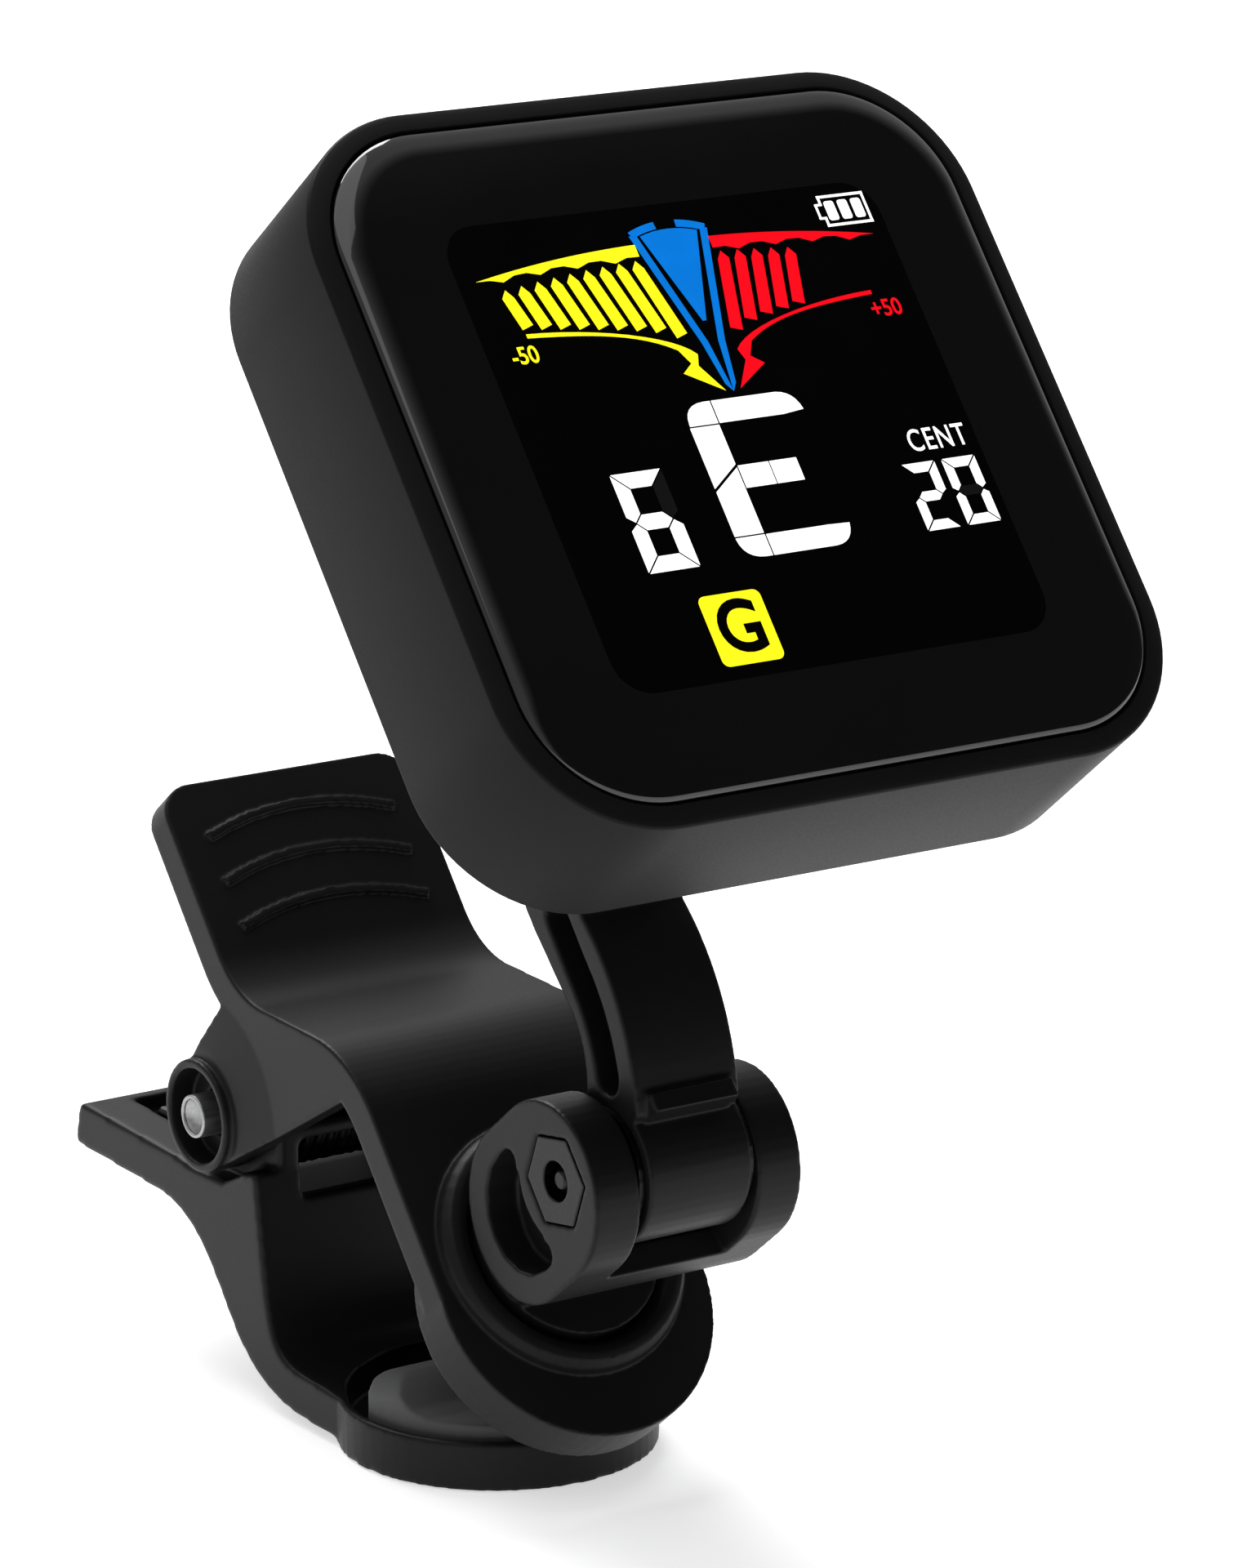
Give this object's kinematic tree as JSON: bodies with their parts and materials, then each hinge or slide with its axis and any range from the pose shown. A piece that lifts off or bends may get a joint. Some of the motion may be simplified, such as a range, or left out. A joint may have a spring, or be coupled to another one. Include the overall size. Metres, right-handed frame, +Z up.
{
  "type": "clip on tuner",
  "caption": "Clip-on instrument tuner: square glossy display head on a tilting arm and swivel yoke above a sprung two-jaw clip with rubber pads.",
  "frame": {"origin": "centre of the flat round underside of the lower jaw", "axes": "+Z up, out of the underside towards the gripping faces; -Y towards the front, where the display faces; +X to the right seen from the front"},
  "size_m": [0.0446, 0.0732, 0.0829],
  "materials": {
    "shell": "fine matte moulded black plastic",
    "gloss": "polished black display window",
    "foam": "thin black foam",
    "lcd": "dark display glass",
    "light": "white light guide",
    "board": "green circuit board",
    "brass": "bare brass",
    "steel": "bare steel",
    "black_steel": "black oxide steel",
    "rubber": "soft black rubber",
    "pad": "dark grey rubber"
  },
  "bodies": {
    "lower_clip": {"lower_jaw": "shell", "lower_pad": "pad", "pivot_pin": "black_steel", "torsion_spring": "black_steel"},
    "upper_clip": {"upper_jaw": "shell", "upper_pad": "pad"},
    "yoke": {"swivel_yoke": "shell", "hinge_bolt": "black_steel", "hex_nut": "black_steel", "friction_washer_left": "black_steel", "friction_washer_right": "black_steel", "swivel_washer": "steel", "wave_washer": "steel", "swivel_screw": "steel"},
    "head": {"front_housing": "shell", "front_lens": "gloss", "lens_gasket": "foam", "lcd_panel": "lcd", "backlight_panel": "light", "main_board": "board", "piezo_disc": "brass", "coin_cell": "steel", "battery_contact_negative": "steel", "battery_contact_positive": "steel", "rear_cover": "shell", "tact_switch": "black_steel", "cover_screw_1": "black_steel", "cover_screw_2": "black_steel", "cover_screw_3": "black_steel", "cover_screw_4": "black_steel", "neck_screw_left": "steel", "neck_screw_right": "steel", "neck_arm": "shell"},
    "button": {"power_button": "rubber"},
    "door": {"battery_door": "shell"}
  },
  "joints": [
    {"name": "jaw_open", "type": "hinge", "parent": "lower_clip", "child": "upper_clip", "pos_m": [0, 0.0182, 0.0173], "axis": [-1, 0, 0], "range_deg": [0, 32], "stiffness_Nm_per_rad": 0.25, "deforming": ["torsion_spring"]},
    {"name": "swivel", "type": "hinge", "parent": "upper_clip", "child": "yoke", "pos_m": [0, -0.0067, 0.0138], "axis": [0, -0.7808, 0.6248], "range_deg": [-90, 90]},
    {"name": "head_tilt", "type": "hinge", "parent": "yoke", "child": "head", "pos_m": [0, -0.01681, 0.02184], "axis": [1, 0, 0], "range_deg": [-20, 90]},
    {"name": "power_press", "type": "slide", "parent": "head", "child": "button", "axis": [0, -0.6248, -0.7808], "range_m": [0, 0.0004], "stiffness_N_per_m": 1500},
    {"name": "battery_door_turn", "type": "hinge", "parent": "head", "child": "door", "pos_m": [0, -0.01329, 0.06321], "axis": [0, -0.7808, 0.6248], "range_deg": [0, 90]}
  ]
}
